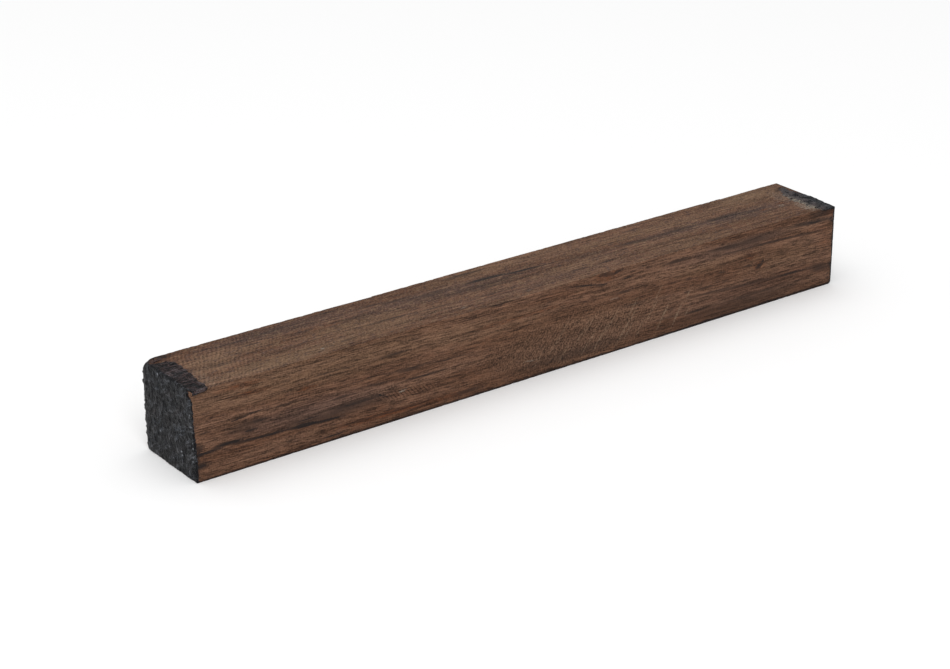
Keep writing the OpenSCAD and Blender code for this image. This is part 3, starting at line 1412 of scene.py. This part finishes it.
@dataclass(frozen=True)
class Splinter:
    """A splinter torn off the back top arris.

    Attributes:
        tail: Where it starts from nothing, on X.
        torn: Its torn end, on X.
        depth: How deep it is at the torn end, from the back face.
        drop: How much deeper it runs down the back face than across the top.
        scant: The depth that stands for none, past its ends.
    """

    tail: float
    torn: float
    depth: float
    drop: float
    scant: float = 1e-6

    def wear(self, points: np.ndarray) -> None:
        """Moves the points beyond the splinter's slant onto it.

        Args:
            points: The points to move.
        """
        share = (points[:, 0] - self.tail) / (self.torn - self.tail)
        width = np.where((share > 0) & (share < 1), self.depth * share, self.scant)
        fall = width * self.drop
        across = (WOOD_HIGH[1] - points[:, 1]) / width
        down = (WOOD_HIGH[2] - points[:, 2]) / fall
        beyond = np.clip(1 - across - down, 0, None)
        steep = 1 / width ** 2 + 1 / fall ** 2
        points[:, 1] -= beyond / width / steep
        points[:, 2] -= beyond / fall / steep


# How far the near end reaches past the CAD, how much further its top front corner does, and
# how far along the blank that fades out
NEAR_OUT = 0.55
NEAR_CORNER_OUT = 0.8
SLANT_REACH = 50.0
# The most of that which the wax on its outer face takes part in
SLANT_MOST = 1.05
# How far in from the wax's outer face the end grain shows
NEAR_COAT = 0.4
FAR_COAT = 0.3
GRAIN_LOW = np.array([WHOLE_LOW[0] + NEAR_COAT, WOOD_LOW[1], WOOD_LOW[2]])
GRAIN_HIGH = np.array([WHOLE_HIGH[0] - FAR_COAT, WOOD_HIGH[1], WOOD_HIGH[2]])
NEAR_KNOCK = KnockedCorner((WHOLE_LOW[0], WOOD_HIGH[1], WOOD_HIGH[2]), (5.5, -3.0, -3.5), 0.35)
FAR_BACK = RoundedArris(2, (WHOLE_HIGH[0], WOOD_HIGH[1]), (-1, -1), 1.5, 0.15, 0.0, 5.0)
FAR_FOOT = RoundedArris(1, (WHOLE_HIGH[0], WOOD_LOW[2]), (-1, 1), 2.4, 0.15, 0.0, 6.0)
# The far top edge, which sags towards the front
SAG_TIP = (WHOLE_HIGH[0], WOOD_LOW[1] - 0.2, WOOD_HIGH[2] + 0.3)
FAR_SAG = KnockedCorner(SAG_TIP, (-5.0, 24.0, -1.1), 0.3)
HEEL = RoundedArris(0, (WOOD_HIGH[1], WOOD_LOW[2]), (-1, 1), 2.2, 0.25, 0.2, 7.0)


def slant_near_end(points: np.ndarray) -> None:
    """Moves the near end out as it was sawn, a little out of square, its top front corner the most.

    Args:
        points: The points to move.
    """
    across, up = (points[:, 1] - START[1]) / WIDTH, points[:, 2] / HEIGHT
    out = NEAR_OUT + NEAR_CORNER_OUT * up * (1 - across)
    points[:, 0] -= out * np.clip(1 - (points[:, 0] - START[0]) / SLANT_REACH, 0, SLANT_MOST)


@dataclass
class SawnBlank:
    """The wood: a square bar with saw marks, worn arrises and a few splinters gone.

    Attributes:
        spacing_along: The spacing of its grid lines along the blank.
        spacing_across: Their spacing across and up.
        edge: The distances of the extra grid lines from each arris.
        arris: The radius of the sharp arrises.
        foot_arris: The radius at the foot of the front.
        far_arris: The radius at the top of the far end.
        mark_depth: The depth of the saw marks on the top.
        fade_cell: The size of the patches that they fade in.
        hollow_cell: The size of the hollows in the faces.
        run_out: How far from an arris the relief runs out.
        sag_sink: How far below the sagging wax the wood lies at the far end.
        splinters: The splinters that are gone.
    """

    spacing_along: float = 0.8
    spacing_across: float = 1.0
    edge: tuple[float, ...] = (0.15, 0.35, 0.6, 0.9, 1.3, 1.8)
    arris: float = 0.35
    foot_arris: float = 0.15
    far_arris: float = 0.9
    mark_depth: float = 0.05
    fade_cell: Cell = (38, 16, 16)
    hollow_cell: Cell = (45, 14, 14)
    run_out: float = 1.5
    sag_sink: float = 0.6
    splinters: tuple[Splinter, ...] = (Splinter(-102, -64, 0.7, 2), Splinter(175, 138, 0.7, 2))

    def arrises(self) -> list[RoundedArris]:
        """The arrises of the bar, sharp ones first."""
        (low_x, low_y, low_z), (high_x, high_y, high_z) = GRAIN_LOW, GRAIN_HIGH
        return [
            RoundedArris(0, (low_y, high_z), (1, -1), self.arris, 0.6, 0.3, 1.0),
            RoundedArris(0, (high_y, high_z), (-1, -1), self.arris, 0.6, 0.35, 2.0),
            RoundedArris(0, (low_y, low_z), (1, 1), self.foot_arris, 0.6, 0.3, 3.0),
            RoundedArris(2, (high_x, low_y), (-1, 1), self.arris, 0.4, 0.0, 4.0),
            RoundedArris(1, (high_x, high_z), (-1, -1), self.far_arris, 0.4, 0.0, 8.0),
            HEEL,
            FAR_BACK,
            FAR_FOOT,
        ]

    def relief(self, points: np.ndarray, face: Face) -> np.ndarray:
        """How far the sawn surface lies below the true face.

        Args:
            points: Points on the face.
            face: Which face.

        Returns:
            Depths in millimetres, none below 0.
        """
        along = points[:, 0] - START[0]
        level = points[:, 1] - START[1] if face in (Face.TOP, Face.UNDERSIDE) else points[:, 2]
        marks = 0.5 - 0.5 * SAW_MARKS[face].wave(along, level)
        fade = 0.45 + 0.9 * np.clip(drift(points, self.fade_cell, face.value + 1, 2), -0.4, 0.6)
        hollow = 0.5 + 0.5 * drift(points, self.hollow_cell, face.value + 2, 2)
        return MARK_SHARES[face] * self.mark_depth * (marks * fade + hollow)

    def build(self, material: bpy.types.Material) -> bpy.types.Object:
        """Builds the wood.

        Args:
            material: Its finish.

        Returns:
            The finished piece.
        """
        spacings = (self.spacing_along, self.spacing_across, self.spacing_across)
        ends = zip(GRAIN_LOW, GRAIN_HIGH, spacings)
        lines = tuple(ruled(low, high, spacing, self.edge) for low, high, spacing in ends)
        skin = Skin(lines, [(axis, side) for axis in range(3) for side in range(2)])
        points = skin.points()
        inset = np.minimum(points - GRAIN_LOW, GRAIN_HIGH - points)
        sides = {Face.TOP: (2, 1), Face.FRONT: (1, 0), Face.BACK: (1, 1), Face.UNDERSIDE: (2, 0)}
        flat = points.copy()
        for face, (axis, side) in sides.items():
            chosen = skin.on(axis, side)
            other = 3 - axis
            fade = ease(inset[chosen, other], 0.0, self.run_out) * ease(inset[chosen, 0], 0.0, self.run_out)
            depth = self.relief(flat[chosen], face) * fade
            points[chosen, axis] += depth * (1 - 2 * side)
        for splinter in self.splinters:
            splinter.wear(points)
        for arris in self.arrises():
            arris.wear(points)
        NEAR_KNOCK.wear(points)
        FAR_SAG.wear(points, self.sag_sink)
        slant_near_end(points)
        return skin.finish("sawn_wood", points, material)


@dataclass(frozen=True)
class BarePlace:
    """A round place that the brush missed, as an ellipsoid round a point.

    Attributes:
        centre: Its middle, as the distance in from the outer face, across and up.
        radii: Its reach along each of those.
        rough: How far its edge strays, as a share of its reach.
        rough_cell: The size of the bumps in its edge.
        bare: Where the cover starts, as a share of its reach.
        full: Where the cover is whole.
    """

    centre: tuple[float, float, float]
    radii: tuple[float, float, float]
    rough: float = 0.2
    rough_cell: Cell = (1.5, 1.5, 1.5)
    bare: float = 0.92
    full: float = 1.25

    def depth(self, points: np.ndarray, seed: float) -> np.ndarray:
        """How well each point is covered in spite of it, from 0 inside it to 1 outside."""
        off = np.linalg.norm((points - np.array(self.centre)) / np.array(self.radii), axis=1)
        return ease(off + self.rough * drift(points, self.rough_cell, seed, 2), self.bare, self.full)


@dataclass
class EndSeal:
    """The wax over one end: a coat on the end grain, a lap on the top face and a lip round the front.

    Attributes:
        name: The piece's name.
        outer: The outer face of the coat, on X.
        inward: The way from that face into the blank, as 1 or -1.
        coat: The mean thickness of the coat, so the end grain lies this far in.
        lap: Reach of the lap from the outer face, at places across the top face.
        lip: Reach of the lip from the outer face, at places up the front face.
        missed: The places that the brush missed.
        seed: Sets one end apart from the other.
        lap_thickness: The mean thickness of the lap.
        lip_thickness: The mean thickness of the lip.
        lumpiness: How much higher the lumps are than those of the near end.
        ragged: How far the lap's edge strays.
        lip_ragged: How far the lip's edge strays.
        ragged_cell: The size of the bays in those edges.
        feather: The width over which an edge thins out.
        margin: How far the mesh runs on past an edge, under the wood.
        sunk: How far below the wood's surface the wax lies where there is none.
        foot_gap: How far above the foot it stops.
        rim: The width at the back of the end over which the coat thins to half.
        spill: How far the wax spills over the back arris.
        spill_reach: The width of the end that moves with the spill.
        spill_cell: The size of the spill's lumps.
        fine_lump: The height of the fine lumps that the brush leaves.
        fine_cell: Their size.
        broad_lump: The height of the broad lumps.
        broad_cell: Their size.
        thinnest_end: The least thickness of the coat.
        thinnest_lap: The least thickness of the lap, inside its edge.
        corner: How far below the top the front strip starts to grow as long as the lap.
        bury: How much deeper the inner layer lies than the wax in bare places.
        inner_sink: How much deeper it lies where the end is worn.
        spacing: The spacing of the grid lines.
        edge: The distances of the extra grid lines from each arris.
    """

    name: str
    outer: float
    inward: int
    coat: float
    lap: tuple[tuple[float, float], ...]
    lip: tuple[tuple[float, float], ...]
    missed: tuple[BarePlace, ...]
    seed: float
    lap_thickness: float = 0.45
    lip_thickness: float = 0.25
    lumpiness: float = 1.0
    ragged: float = 0.9
    lip_ragged: float = 0.35
    ragged_cell: Cell = (2.6, 1.5, 1.5)
    feather: float = 1.2
    margin: float = 2.0
    sunk: float = 0.25
    foot_gap: float = 0.3
    rim: float = 1.4
    spill: float = 0.9
    spill_reach: float = 1.0
    spill_cell: Cell = (4, 1.3, 1.3)
    fine_lump: float = 0.20
    fine_cell: Cell = (1.3, 1.0, 3.2)
    broad_lump: float = 0.22
    broad_cell: Cell = (2.6, 2.6, 2.6)
    thinnest_end: float = 0.08
    thinnest_lap: float = 0.1
    corner: float = 6.0
    bury: float = 0.2
    inner_sink: float = 0.75
    spacing: float = 0.4
    edge: tuple[float, ...] = (0.12, 0.27, 0.45, 0.7, 1.0)

    def cover(self, inset: np.ndarray, points: np.ndarray, ragged: float, seed: float) -> np.ndarray:
        """How well a brushed edge covers the wood.

        Args:
            inset: Distance inside the mean edge.
            points: The points themselves.
            ragged: How far the edge strays.
            seed: Sets one edge apart from another.

        Returns:
            A share of the full thickness, 1 well inside the edge and below 0 past it.
        """
        strayed = inset + ragged * drift(points, self.ragged_cell, seed, 3)
        return np.clip(strayed / self.feather + 0.25, -0.6, 1)

    def rims(self) -> list[RoundedArris]:
        """The worn rims of the coat, in distances in from its outer face, across and up."""
        top, front = HEIGHT + self.lap_thickness, -self.lip_thickness
        return [
            RoundedArris(1, (0.0, top), (1, -1), 0.9, 0.3, 0.0, self.seed),
            RoundedArris(2, (0.0, front), (1, 1), 0.5, 0.4, 0.0, self.seed + 5),
            RoundedArris(0, (front, top), (1, -1), 0.5, 0.3, 0.0, self.seed + 6),
        ]

    def lay(self, skin: Skin, flat: np.ndarray, lap_reach: np.ndarray, lip_reach: np.ndarray) -> np.ndarray:
        """Lays the wax on the end, the top face and the front face.

        Args:
            skin: The grids.
            flat: Each vertex's place on the wood, as distances in from the outer face, across and up.
            lap_reach: Reach of the lap beside each vertex.
            lip_reach: Reach of the lip beside each vertex.

        Returns:
            Each vertex's place on the outside of the wax.
        """
        along, across, up = flat.T
        covered = np.ones(len(flat))
        for place in self.missed:
            covered = covered * place.depth(flat, self.seed + 2)
        lumps = self.fine_lump * drift(flat, self.fine_cell, self.seed, 3)
        lumps = lumps + self.broad_lump * drift(flat, self.broad_cell, self.seed + 1, 2)
        lumps = lumps * self.lumpiness

        end = np.maximum(self.coat + lumps, self.thinnest_end)
        end = end * (0.5 + 0.5 * ease(WIDTH - across, 0, self.rim))
        lap = np.maximum(self.lap_thickness + 0.9 * lumps, self.thinnest_lap)
        lap = lap * self.cover(lap_reach - along, flat, self.ragged, self.seed + 3)
        lip = self.lip_thickness + 0.5 * lumps
        lip = lip * self.cover(lip_reach - along, flat, self.lip_ragged, self.seed + 4)
        end, lap, lip = (thick * covered - self.sunk * (1 - covered) for thick in (end, lap, lip))

        out = flat.copy()
        out[:, 0] = np.where(skin.on(0, 0), self.coat - end, along)
        out[:, 1] = np.where(skin.on(1, 0), -lip, across)
        out[:, 2] = np.where(skin.on(2, 1), HEIGHT + lap, up)
        spilt = np.clip(0.30 + 1.5 * drift(flat, self.spill_cell, self.seed + 7, 2), 0, 1.2)
        spill = skin.on(0, 0) * self.spill * spilt
        out[:, 1] += spill * ease(across, WIDTH - self.spill_reach, WIDTH)
        for rim in self.rims():
            rim.wear(out)
        return out

    def build(self, material: bpy.types.Material) -> bpy.types.Object:
        """Builds the wax.

        Args:
            material: Its finish.

        Returns:
            The finished piece.
        """
        lap_places, lap_reaches = np.array(self.lap).T
        lip_places, lip_reaches = np.array(self.lip).T
        longest = lap_reaches.max() + self.margin - self.coat
        skin = Skin((
            ruled(0, longest, self.spacing, self.edge),
            ruled(0, WIDTH, self.spacing, self.edge),
            ruled(self.foot_gap, HEIGHT, self.spacing, self.edge),
        ), [(0, 0), (1, 0), (2, 1)])
        inner = skin.thicken()
        spot = skin.points()
        across, up = spot[:, 1], spot[:, 2]

        # Each strip is only as long as its own edge asks for
        lap_reach = np.interp(across, lap_places, lap_reaches)
        lip_reach = np.interp(up, lip_places, lip_reaches)
        corner_reach = ease(up, HEIGHT - self.corner, HEIGHT) * lap_reaches[0]
        reach = np.where(skin.on(2, 1), lap_reach, np.maximum(lip_reach, corner_reach))
        strip = reach + self.margin - self.coat
        along = self.coat + np.where(skin.on(0, 0), 0, spot[:, 0] / longest * strip)
        flat = np.stack([along, across, up], axis=1)
        out = self.lay(skin, flat, lap_reach, lip_reach)

        # The inner layer lies just under the wood's surface
        under = flat.copy()
        buried = self.sunk + self.bury
        under[:, 0] = np.maximum(along, self.coat + self.sunk)
        under[:, 1] = np.maximum(across, buried)
        under[:, 2] = np.minimum(up, HEIGHT - buried)
        local = np.where(inner[:, None], under, out)

        points = START + local
        points[:, 0] = self.outer + self.inward * local[:, 0]
        near = self.inward > 0
        knock = NEAR_KNOCK if near else FAR_SAG
        for layer, sink in ((inner, self.inner_sink), (~inner, 0.0)):
            worn = points[layer]
            knock.wear(worn, sink)
            points[layer] = worn
        for arris in (HEEL,) if near else (FAR_BACK, FAR_FOOT, HEEL):
            arris.wear(points)
        if near:
            slant_near_end(points)
        return skin.finish(self.name, points, material)


@dataclass(frozen=True)
class Softbox:
    """A square lamp that faces the middle of the blank.

    Attributes:
        name: Its name.
        place: Where it stands, in metres.
        size: The length of its sides, in metres.
        power: Its power in watts.
    """

    name: str
    place: tuple[float, float, float]
    size: float
    power: float

    def switch_on(self) -> None:
        """Adds the lamp to the scene."""
        lamp = bpy.data.lights.new(self.name, "AREA")
        lamp.shape = "SQUARE"
        lamp.size = self.size
        lamp.energy = self.power
        stand = bpy.data.objects.new(self.name, lamp)
        turn = Vector(self.place).to_track_quat("Z", "Y").to_matrix().to_4x4()
        stand.matrix_world = Matrix.Translation(self.place) @ turn
        bpy.context.scene.collection.objects.link(stand)


@dataclass(frozen=True)
class Studio:
    """A pale floor, soft light from above and all round, and the photograph's camera.

    Attributes:
        floor_size: The length of the floor's sides, in metres.
        floor_colour: Its colour.
        floor_roughness: Its roughness.
        sky: The strength of the white light all round.
        lamps: The softboxes.
        camera_place: The camera's place, in millimetres.
        yaw: Which way it looks, in degrees from Y towards X.
        pitch: How far down it looks, in degrees.
        roll: How far it is turned about its line of sight, in degrees.
        focal_pixels: Its focal length, in pixels of the photograph.
        sensor: The width of its sensor, in millimetres.
        farthest: How far it sees, in metres.
    """

    floor_size: float = 8.0
    floor_colour: Colour = (0.93, 0.93, 0.93)
    floor_roughness: float = 0.9
    sky: float = 0.55
    lamps: tuple[Softbox, ...] = (
        Softbox("overhead_softbox", (-0.4, 0.3, 3.3), 3.6, 50.0),
        Softbox("front_softbox", (-1.54, -2.66, 2.58), 2.4, 67.0),
    )
    camera_place: tuple[float, float, float] = (-586.0, -760.5, 427.8)
    yaw: float = 36.5245
    pitch: float = 23.4096
    roll: float = -0.2588
    focal_pixels: float = 2345.64
    sensor: float = 36.0
    farthest: float = 50.0

    def lay_floor(self) -> None:
        """Lays the floor at the height that the blank lies on."""
        sheet = bmesh.new()
        bmesh.ops.create_grid(sheet, x_segments=2, y_segments=2, size=self.floor_size / 2)
        data = bpy.data.meshes.new("floor")
        sheet.to_mesh(data)
        sheet.free()
        floor = bpy.data.objects.new("floor", data)
        bpy.context.scene.collection.objects.link(floor)
        graph = Graph("pale_floor")
        graph.feed(graph.surface.inputs["Base Color"], self.floor_colour)
        graph.surface.inputs["Roughness"].default_value = self.floor_roughness
        graph.surface.inputs["Specular IOR Level"].default_value = 0.0
        data.materials.append(graph.material)

    def light(self) -> None:
        """Lights the blank from a white room and with the softboxes."""
        world = bpy.data.worlds.new("white_room")
        world.use_nodes = True
        background = world.node_tree.nodes["Background"]
        background.inputs["Color"].default_value = (1.0, 1.0, 1.0, 1.0)
        background.inputs["Strength"].default_value = self.sky
        bpy.context.scene.world = world
        for lamp in self.lamps:
            lamp.switch_on()

    def set_camera(self) -> None:
        """Puts the camera where the photograph was taken from."""
        yaw, pitch, roll = (math.radians(angle) for angle in (self.yaw, self.pitch, self.roll))
        ahead = Vector((math.sin(yaw) * math.cos(pitch), math.cos(yaw) * math.cos(pitch), -math.sin(pitch)))
        level = Vector((math.cos(yaw), -math.sin(yaw), 0.0))
        upright = level.cross(ahead)
        right = math.cos(roll) * level + math.sin(roll) * upright
        up = math.cos(roll) * upright - math.sin(roll) * level
        lens = bpy.data.cameras.new("photo_camera")
        lens.sensor_width = self.sensor
        lens.sensor_fit = "HORIZONTAL"
        lens.lens = self.sensor * self.focal_pixels / PHOTO_WIDTH
        lens.clip_end = self.farthest
        camera = bpy.data.objects.new("photo_camera", lens)
        turn = Matrix((right, up, -ahead)).transposed().to_4x4()
        camera.matrix_world = Matrix.Translation(Vector(self.camera_place) * MM) @ turn
        bpy.context.scene.collection.objects.link(camera)
        bpy.context.scene.camera = camera

    def set_up(self) -> None:
        """Sets up the floor, the light and the camera."""
        self.lay_floor()
        self.light()
        self.set_camera()
        bpy.context.scene.view_settings.view_transform = "Standard"


NEAR_SEAL = EndSeal(
    name="near_wax",
    outer=WHOLE_LOW[0],
    inward=1,
    coat=NEAR_COAT,
    lap=((0, 7.8), (4.8, 8.7), (9, 8.3), (16, 9.3), (21.3, 9.5), (29.8, 9.6), (32.4, 7.6),
         (33.3, 1.0), (34.4, 1.0), (35.4, 6.4), (40, 7.6)),
    lip=((0, 0.7), (10, 0.8), (20, 0.6), (23, 0.3), (38.7, 0.3), (39.3, 7.2), (40, 7.8)),
    missed=(BarePlace((0.0, -0.6, 40.6), (0.9, 3.6, 4.2)),),
    seed=11.0,
)
FAR_SEAL = EndSeal(
    name="far_wax",
    outer=WHOLE_HIGH[0],
    inward=-1,
    coat=FAR_COAT,
    lap=((0, 8.9), (6, 10.6), (13, 10.4), (17, 11.5), (24, 10.0), (29, 7.4), (32, 5.6),
         (34, 1.5), (36, -1.0), (40, -2.0)),
    lip=((0, 0.5), (38.4, 0.5), (39.1, 8.0), (40, 8.9)),
    missed=(
        BarePlace((0.0, 41.5, 40.5), (6.0, 6.5, 8.0)),
        BarePlace((0.0, 29.5, 41.0), (2.8, 12.0, 2.4)),
    ),
    seed=23.0,
    lap_thickness=0.35,
    lumpiness=1.8,
    ragged=1.6,
)


def add(piece: bpy.types.Object, node: str) -> None:
    """Puts a finished piece in the place of a CAD node.

    Args:
        piece: The piece.
        node: The node that it stands for.
    """
    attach(piece, "root")
    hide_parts(node)
    triangles = sum(len(polygon.vertices) - 2 for polygon in piece.data.polygons)
    log.info("%s stands for %s, %d triangles", piece.name, node, triangles)


def main() -> None:
    """Builds the blank and the studio round it."""
    logging.basicConfig(level=logging.INFO, format="%(name)s: %(message)s")
    Studio().set_up()
    wax = BlackWax().material()
    add(SawnBlank().build(DarkHardwood().material()), "sawn_blank")
    add(NEAR_SEAL.build(wax), "near_end_seal")
    add(FAR_SEAL.build(wax), "far_end_seal")


if __name__ == "__main__":
    main()
